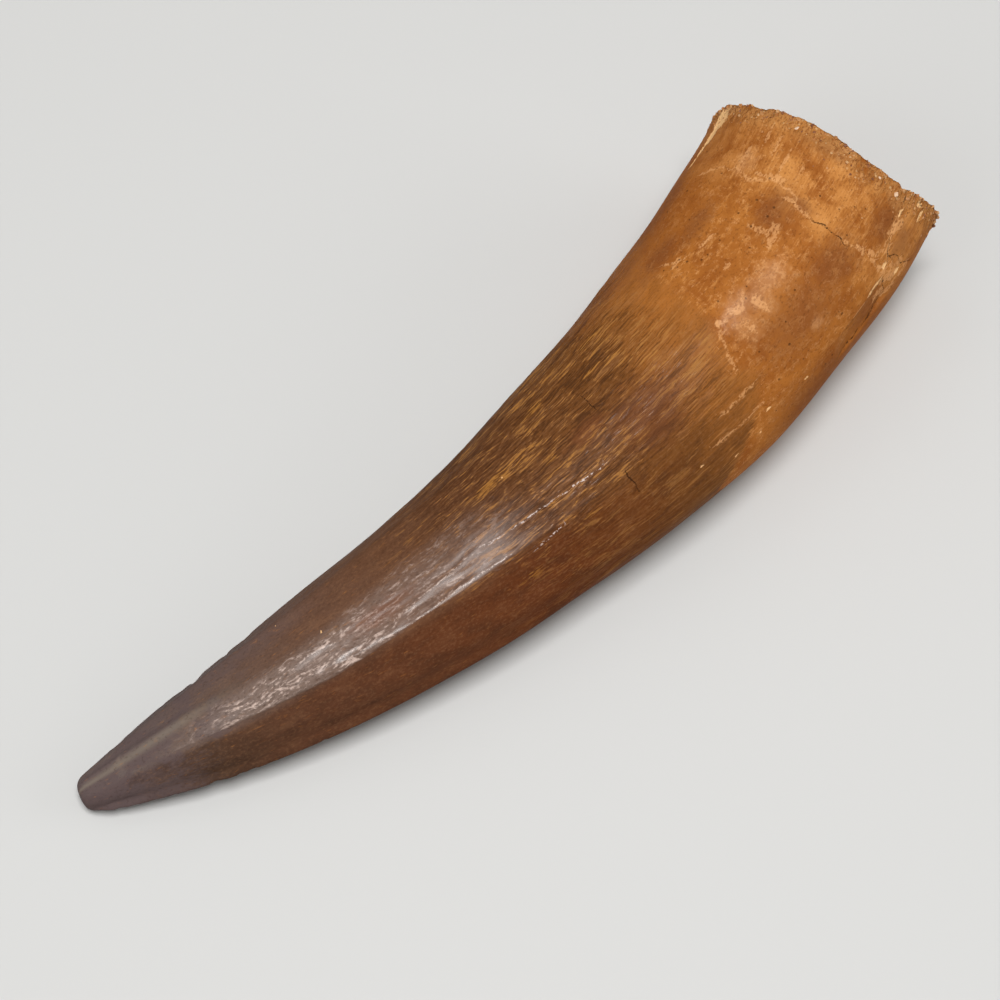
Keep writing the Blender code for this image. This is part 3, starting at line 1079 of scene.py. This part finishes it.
print("groups:", [group.name for group in bpy.data.node_groups])

# %% [markdown]
# ## Colours of the fossil
#
# The crown is grey with a touch of plum at the tip, turns brown, and warms towards the root. Its flank
# is darker all the way. Gold shows through where the enamel has worn into streaks. The root is amber,
# paler towards the break, and its stains, veins and chips lie over that. The colours are laid on in that
# order, as on the real tooth, where the later stains lie on top.

# %% Colours of the fossil
TIP_GREY = (0.15, 0.118, 0.108)
TIP_PLUM = (0.108, 0.076, 0.074)
TIP_RIDGE_HIGHLIGHT = (0.225, 0.185, 0.145)
CROWN_GREY = (0.13, 0.084, 0.066)
CROWN_BROWN = (0.13, 0.065, 0.04)
FLANK_OLIVE = (0.075, 0.04, 0.025)
FLANK_BROWN = (0.104, 0.042, 0.022)
FLANK_UMBER = (0.125, 0.036, 0.011)
FLANK_DARK = (0.04, 0.02, 0.012)
NECK_UMBER = (0.12, 0.046, 0.017)
NECK_AMBER = (0.17, 0.062, 0.015)
NECK_DARK = (0.042, 0.017, 0.008)
NECK_TAN = (0.34, 0.175, 0.085)
STREAK_GOLD = (0.43, 0.185, 0.036)
# The grey of the silky band is partly scuffed enamel and partly painted sheen. The light silk colour is a
# painted highlight on its wrinkles and along the crests.
SILK_GREY_AND_SHEEN = (0.23, 0.165, 0.135)
PAINTED_SILK_HIGHLIGHT = (0.62, 0.47, 0.4)
ROOT_AMBER = (0.39, 0.136, 0.026)
ROOT_DEEP = (0.26, 0.075, 0.013)
ROOT_OCHRE = (0.64, 0.285, 0.082)
STAIN_PLUM = (0.17, 0.056, 0.021)
FLAKE_PALE = (0.72, 0.36, 0.145)
CHIP_CREAM = (0.88, 0.53, 0.24)
CRACK_DARK = (0.035, 0.014, 0.006)
SAND_OCHRE = (0.48, 0.22, 0.07)
SAND_PALE = (0.66, 0.41, 0.2)

# The places of the colours along the tooth are tenths of a metre from the tip.
UPPER_STOPS = (
    (0.02, TIP_GREY), (0.13, CROWN_GREY), (0.27, CROWN_BROWN), (0.46, NECK_UMBER), (0.63, NECK_AMBER),
    (0.75, ROOT_AMBER),
)
FLANK_STOPS = (
    (0.02, TIP_PLUM), (0.12, FLANK_OLIVE), (0.22, FLANK_BROWN), (0.48, FLANK_UMBER), (0.64, NECK_AMBER),
    (0.76, ROOT_AMBER),
)


def crown_colour(along, fibres, cloud, smoke, freckle):
    """Grey at the tip, brown beyond it, amber at the root, and darker and mottled on the flank."""
    reach = between(along, 4, 40, 3, 12)
    drift = plus(calc("MULTIPLY_ADD", calc("SUBTRACT", cloud, 0.5), reach, along), 8, fibres)
    tenths = times(drift, 0.01)
    belly = read("belly")
    shadow = calc("MULTIPLY_ADD", belly, 0.2, 0.12)
    plum_end = calc("MULTIPLY_ADD", belly, 6, drift)
    plum = times(between(plum_end, 20, 12), between(cloud, 0.4, 0.54))
    edge = times(read("tip_edge"), between(smoke, 0.36, 0.56, 0.5, 1))
    return cover(
        ramp(tenths, UPPER_STOPS),
        (belly, ramp(tenths, FLANK_STOPS)),
        (times(between(smoke, 0.54, 0.34), shadow), FLANK_DARK),
        (between(smoke, 0.5, 0.72, 0, 0.1), NECK_TAN),
        (between(freckle, 0.5, 0.68, 0, 0.12), NECK_TAN),
        (times(either(plum, times(edge, 0.75)), 0.8), TIP_PLUM),
        # Painted highlight: a pale stripe along the ridge at the tip.
        (times(read("tip_ridge_highlight"), 0.6), TIP_RIDGE_HIGHLIGHT),
    )


def streak_colour(under, fibres, broad, dashes):
    """Golden, tan and dark streaks over the neck, drawn out along the tooth."""
    zone = read("streaks")
    richness = calc("MAXIMUM", read("gold"), 0)
    lift = plus(plus(fibres, 0.8, broad), 0.4, dashes)
    golden = calc("MULTIPLY_ADD", richness, 0.16, lift)
    dark = times(between(lift, 0.5, 0.32), zone, 0.62)
    tan = times(between(lift, 0.51, 0.7), zone, 0.4)
    bare = between(read("silk"), 0.1, 0.7, 1, 0.3)
    gold = times(between(golden, 0.58, 0.7), either(zone, richness), bare, 0.68)
    return cover(under, (dark, NECK_DARK), (tan, NECK_TAN), (gold, STREAK_GOLD)), lift


def silk_colour_and_sheen(under, height, nap, smoke):
    """Greyish silk over the crest, partly painted sheen, with clusters of painted highlights on wrinkles and
    a few dark specks.
    """
    zone = read("silk")
    cluster = between(smoke, 0.4, 0.58, 0.25, 1)
    return cover(
        under,
        # Painted sheen: grey over the silky band, partly scuffed enamel.
        (times(zone, between(height, 0.2, 0.5, 0.35, 1), 0.66), SILK_GREY_AND_SHEEN),
        # Painted highlight on clusters of the higher wrinkles.
        (times(zone, cluster, between(height, 0.5, 0.68), 0.92), PAINTED_SILK_HIGHLIGHT),
        (times(zone, between(nap, 0.42, 0.3), 0.4), FLANK_DARK),
    )


def root_colour(place, to_break, fibres, freckle, tear):
    """Amber dentine with soft dark patches and pale outlines, paler and streaked towards the break."""
    mottle = grain(place, 3.6, 3, 1.2, 6, 12)
    rim_light = plus(mottle, 0.35, fibres)
    pale = times(between(to_break, 11, 7.5), between(rim_light, 0.34, 0.7))
    streaks = between(plus(tear, 0.5, fibres), 0.5, 0.7, 0, 0.4)
    spots = dots(place, 1.5, 0.4, 0.45, 1)
    outline = between(calc("PINGPONG", calc("SUBTRACT", mottle, 0.46), 0.03), 0.008, 0)
    colour = cover(
        ROOT_AMBER,
        (between(mottle, 0.6, 0.36, 0, 0.75), ROOT_DEEP),
        (times(pale, 0.68), ROOT_OCHRE),
        (streaks, ROOT_OCHRE),
        (times(spots, between(tear, 0.4, 0.6), 0.3), ROOT_DEEP),
        (times(outline, between(tear, 0.42, 0.58), 0.42), FLAKE_PALE),
        # Painted shade on both sides of the root.
        (times(read("root_side_shade"), 0.45), ROOT_DEEP),
        (between(freckle, 0.5, 0.3, 0, 0.3), ROOT_DEEP),
    )
    return colour, mottle


print("colours laid down in order: crown, streaks, silk, root, stains, chips, sand")

# %% [markdown]
# ## The skin's finish
#
# One Principled shader takes all the layers. Polish follows the layers too: enamel is smooth, the silky
# band is glossier, the root is satin, and chips and sand are dull. A coat stands for the shine of the
# enamel, mostly where the crest is silky. All heights are added up in thousandths of a millimetre before a
# single bump, because each bump node works out everything behind it three times.

# %% The skin's layers
skin, surface = new_finish("fossil_enamel_and_dentine")
place = read("straight_mm", "Vector")
along = put("ShaderNodeSeparateXYZ", {0: place}).outputs[0]
to_break = read("to_break_mm")
cloud = grain(place, 5, 3, 2, 4, 5)
smoke = grain(place, 3.4, 1.1, 0.8, 5, 15)
fibres = grain(place, 8, 0.16, 0.25, 3, 2)
dashes = grain(place, 2.8, 0.11, 0.2, 3, 4)
broad = grain(place, 9, 0.9, 0.8, 3, 8)
tear = grain(place, 0.9, 0.7, 0, 4, 19)
freckle = grain(place, 0.34, 0.22, 0, 2, 21)
silk_folds = grain(place, 2.6, 0.34, 1, 5, 33)
silk_nap = grain(place, 0.45, 0.2, 0.3, 2, 35)

crown = crown_colour(along, fibres, cloud, smoke, freckle)
streaked, streak_height = streak_colour(crown, fibres, broad, dashes)
silk_height = plus(silk_folds, 0.5, silk_nap)
silky = silk_colour_and_sheen(streaked, silk_height, silk_nap, smoke)
amber, mottle = root_colour(place, to_break, fibres, freckle, tear)
root_field = plus(plus(read("root"), 1.5, fibres), 0.7, tear)
root_mask = between(root_field, 0.15, 0.85)
colour = tint(root_mask, silky, amber)
print("nodes below the stains:", len(skin.node_tree.nodes))

# %% Stains, veins, chips, sand and painted highlights
plum = torn("plum", tear, 1.8, 0.7)
pale = torn("pale", tear, 2, 1)
flake = torn("flake", plus(freckle, 0.8, tear), 2.2)
flake = times(flake, between(plus(freckle, 0.5, dashes), 0.36, 0.5, 0.25, 1))
cream = torn("cream", freckle, 1.6, 0.15)
flaky = times(pale, between(plus(freckle, 0.7, tear), 0.5, 0.6))

vein = drawn("vein", 1.2, 0.22, 0.38, 0.56)
crack = drawn("crack", 0.8, 0.08, 0.41, 0.53)
crest = drawn("crest", 0.5, 0.1, 0.46, 0.58)
open_skin = either(root_mask, times(read("streaks"), 0.5), times(read("silk"), 0.6))
pores = times(dots(place, 0.9, 0.17, 0.4), open_skin)
pits = times(dots(place, 3.1, 0.08, 0.5), root_mask)
sandy = times(between(to_break, 3.2, 0.5), between(tear, 0.32, 0.5))
grains = dots(place, 0.42, 0.34, 0.45)
layers = (
    (times(plum, 0.5), STAIN_PLUM),
    # Painted highlight: the pale patches on the root's crest, with their flaked inside.
    (times(pale, 0.26), FLAKE_PALE),
    (times(flaky, 0.18), FLAKE_PALE),
    (times(vein, 0.52), FLAKE_PALE),
    (times(flake, 0.48), FLAKE_PALE),
    # Painted highlight along the crest lines.
    (times(crest, 0.55), PAINTED_SILK_HIGHLIGHT),
    (times(sandy, 0.6), SAND_OCHRE),
    (times(sandy, between(freckle, 0.5, 0.38), 0.65), ROOT_DEEP),
    (times(sandy, grains, 0.85), SAND_PALE),
    (times(cream, 0.92), CHIP_CREAM),
    (times(between(freckle, 0.44, 0.3), 0.25), CRACK_DARK),
    (times(pores, 0.6), CRACK_DARK),
    (times(either(crack, pits), 0.85), CRACK_DARK),
)
connect(cover(colour, *layers), surface["Base Color"])
print("layers over the root and the crown:", len(layers))

# %% Polish and bump
MICRON = 1e-6
ENAMEL_ROUGHNESS = 0.46
COAT_ROUGHNESS = 0.24
SKIN_SPECULAR = 0.01

polish = plus(plus(ENAMEL_ROUGHNESS, 0.25, silk_nap), 0.15, freckle)
polish = calc("MULTIPLY_ADD", root_mask, plus(0.06, 0.4, mottle), polish)
dull = either(sandy, cream, crack)
connect(calc("MULTIPLY_ADD", dull, 0.3, polish), surface["Roughness"])
glints = times(read("streaks"), between(dashes, 0.58, 0.7), 0.28)
coat = either(times(read("silk"), 0.95), times(pale, 0.4), times(crest, 0.5), glints)
connect(times(calc("SUBTRACT", 1, dull), coat), surface["Coat Weight"])
surface["Coat Roughness"].default_value = COAT_ROUGHNESS
surface["Specular IOR Level"].default_value = SKIN_SPECULAR

micro = grain(place, 0.14, 0.1, 0, 2, 51)
heights = (
    (times(streak_height, read("streaks")), 120),
    (times(silk_height, calc("POWER", read("silk"), 0.5)), 120),
    (freckle, 28),
    (times(tear, root_mask), 40),
    (times(plus(freckle, 1, tear), sandy), 220),
    (either(pores, crack, pits), -60),
    (either(flaky, flake, vein), 25),
    (micro, 14),
)
total = 0.0
for height, microns in heights:
    total = calc("MULTIPLY_ADD", height, microns, total)
connect(bump(total, MICRON), surface["Normal"])
skin_mesh.materials.append(skin)
print("skin nodes:", len(skin.node_tree.nodes))

# %% [markdown]
# ## The broken face
#
# Broken dentine is dry and open, and shows the layers that it grew in, one inside the other. The hollow
# for the nerve was filled with sand, which has turned to stone. The same groups make both, with rounder
# grain, no coat and a high roughness. How far out a point lies from the middle is read from the vertices,
# so the layers follow the outline of the root.

# %% The broken face
FILLING_EDGE = 0.46
LAYER_TURNS = 75  # radians from the middle of the root to its edge
BREAK_ROUGHNESS = 0.82
BREAK_SPECULAR = 0.15

broken, surface = new_finish("broken_dentine")
place = read("straight_mm", "Vector")
coarse = grain(place, 1.6, 1.4, 1, 5, 61)
crumb = grain(place, 0.35, 0.35, 0, 4, 67)
specks = dots(place, 0.45, 0.3, 0.4)
holes = dots(place, 0.8, 0.22, 0.5)
outness = plus(read("spread"), 0.35, coarse)
layer_wave = calc("SINE", calc("MULTIPLY", outness, LAYER_TURNS))
filling = between(outness, FILLING_EDGE + 0.03, FILLING_EDGE - 0.03)
seam = between(calc("ABSOLUTE", calc("SUBTRACT", outness, FILLING_EDGE)), 0.022, 0)
grit = times(specks, between(crumb, 0.4, 0.6))
sandstone = cover(STAIN_PLUM, (between(crumb, 0.36, 0.62), SAND_OCHRE), (grit, SAND_PALE))
colour = cover(
    ROOT_AMBER,
    (between(layer_wave, -0.4, 0.9, 0, 0.5), ROOT_DEEP),
    (between(crumb, 0.45, 0.7, 0, 0.6), ROOT_OCHRE),
    (filling, sandstone),
    (between(coarse, 0.46, 0.3, 0, 0.5), STAIN_PLUM),
    (times(either(holes, seam), 0.7), CRACK_DARK),
)
connect(colour, surface["Base Color"])
connect(plus(BREAK_ROUGHNESS, 0.2, crumb), surface["Roughness"])
surface["Specular IOR Level"].default_value = BREAK_SPECULAR
rough = calc("MULTIPLY_ADD", crumb, 250, times(either(holes, seam), -120))
connect(bump(rough, MICRON), surface["Normal"])
skin_mesh.materials.append(broken)

face_rows = np.repeat(1 + np.arange(len(placed) - 3), SEGMENTS)
on_break = np.zeros(len(skin_mesh.polygons), dtype=np.int32)
on_break[SEGMENTS:-SEGMENTS] = face_rows > NOSE_RINGS + BODY_RINGS
on_break[-SEGMENTS:] = 1
skin_mesh.polygons.foreach_set("material_index", on_break)
print("faces on the break:", int(on_break.sum()))

# %% [markdown]
# ## Sand grains
#
# Grains of the sand that buried the tooth still stick to its broken rim. Each is a small ball of twenty
# flat faces, pushed out of shape and half sunk where it sticks. Particles would be quicker to set
# up, but they don't survive an export, so the grains are joined into one mesh. Each has a number between
# 0 and 1 that picks its colour, from quartz white to iron brown.

# %% Sand grains
GRAIN_SEED = 20
GRAIN_COUNT = 1600
GRAIN_RADIUS = (0.00007, 0.00028)
GRAIN_SPREAD_MM = 0.9
GRAIN_SINK = 0.50
GRAIN_SHADES = (0.0, 0.66)
FACE_SHARE = 0.35
ROOT_RADIUS_MM = 11.0
PEBBLE_BULGE = (-0.28, 0.18)
PEBBLE_STRETCH = (0.7, 1.2)
# Larger quartz grains: distance in millimetres, angle in degrees, radius in metres.
QUARTZ = ((94.6, 77, 0.00042), (94.1, 133, 0.00038), (94.3, 121, 0.0003), (93, 214, 0.0004))
QUARTZ_WHITE = (0.72, 0.5, 0.34)
GRAIN_STOPS = (
    (0.0, STAIN_PLUM), (0.18, ROOT_AMBER), (0.45, SAND_OCHRE), (0.80, SAND_PALE), (1.0, QUARTZ_WHITE),
)

rng = np.random.default_rng(GRAIN_SEED)
edge = np.exp(-1000.0 * np.abs(gap_to_rim) / GRAIN_SPREAD_MM) * (spreads > 0.0) * root_half
edge = edge + FACE_SHARE * (spreads < 1.0) * root_half * spreads
picks = rng.choice(edge.size, size=GRAIN_COUNT, replace=False, p=(edge / edge.sum()).ravel())
radii = rng.uniform(*GRAIN_RADIUS, GRAIN_COUNT)
shades = rng.uniform(*GRAIN_SHADES, GRAIN_COUNT)
for along_mm, angle, radius in QUARTZ:
    off_round = ROOT_RADIUS_MM * angle_between(around, math.radians(angle))
    gap = np.hypot(1000.0 * distances - along_mm, off_round)
    picks = np.append(picks, np.argmin(gap + 100.0 * (spreads < 1.0)))
    radii = np.append(radii, radius)
    shades = np.append(shades, 1.0)

row_step = np.gradient(placed, axis=0)
turn_step = np.roll(placed, -1, axis=1) - np.roll(placed, 1, axis=1)
outward = np.cross(turn_step, row_step)
outward = outward / np.maximum(np.linalg.norm(outward, axis=-1, keepdims=True), 1e-12)

pebble = bmesh.new()
bmesh.ops.create_icosphere(pebble, subdivisions=1, radius=1.0)
pebble_points = np.array([vertex.co for vertex in pebble.verts])
pebble_faces = np.array([[vertex.index for vertex in face.verts] for face in pebble.faces])
pebble.free()

sites = placed.reshape(-1, 3)[picks]
ways = outward.reshape(-1, 3)[picks]
bulges = 1.0 + rng.uniform(*PEBBLE_BULGE, (len(picks), len(pebble_points), 1))
stretch = rng.uniform(*PEBBLE_STRETCH, (len(picks), 1, 3))
grain_points = pebble_points * bulges * stretch * radii[:, None, None]
grain_points = grain_points + (sites - GRAIN_SINK * radii[:, None] * ways)[:, None, :]
grain_points[..., 2] = np.maximum(grain_points[..., 2], 0.0)
grain_faces = pebble_faces[None] + (len(pebble_points) * np.arange(len(picks)))[:, None, None]
sand_mesh = bpy.data.meshes.new("sand_grains")
sand_mesh.from_pydata(grain_points.reshape(-1, 3).tolist(), [], grain_faces.reshape(-1, 3).tolist())
shade_layer = sand_mesh.attributes.new("shade", "FLOAT", "POINT")
shade_layer.data.foreach_set("value", np.repeat(shades, len(pebble_points)).astype(np.float32))
sand = show("sand_grains", sand_mesh)
print("grains:", len(picks), "triangles:", len(sand_mesh.polygons))

# %% Sand finish
DUST_SIZE = 0.0002
SAND_ROUGHNESS = 0.55
GRAIN_RELIEF = 0.00003

sand_finish, surface = new_finish("quartz_sand")
here = put("ShaderNodeTexCoord").outputs["Object"]
dust = grain(here, DUST_SIZE, DUST_SIZE, 0, 3, 71)
colour = ramp(plus(read("shade"), 0.5, dust), GRAIN_STOPS)
connect(colour, surface["Base Color"])
connect(plus(SAND_ROUGHNESS, 0.4, dust), surface["Roughness"])
connect(bump(dust, GRAIN_RELIEF), surface["Normal"])
sand_mesh.materials.append(sand_finish)
print("nodes in the sand:", len(sand_finish.node_tree.nodes))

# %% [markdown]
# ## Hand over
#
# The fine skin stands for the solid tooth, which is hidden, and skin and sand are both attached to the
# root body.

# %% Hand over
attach(tooth, "root")
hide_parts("tooth")
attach(sand, "root")
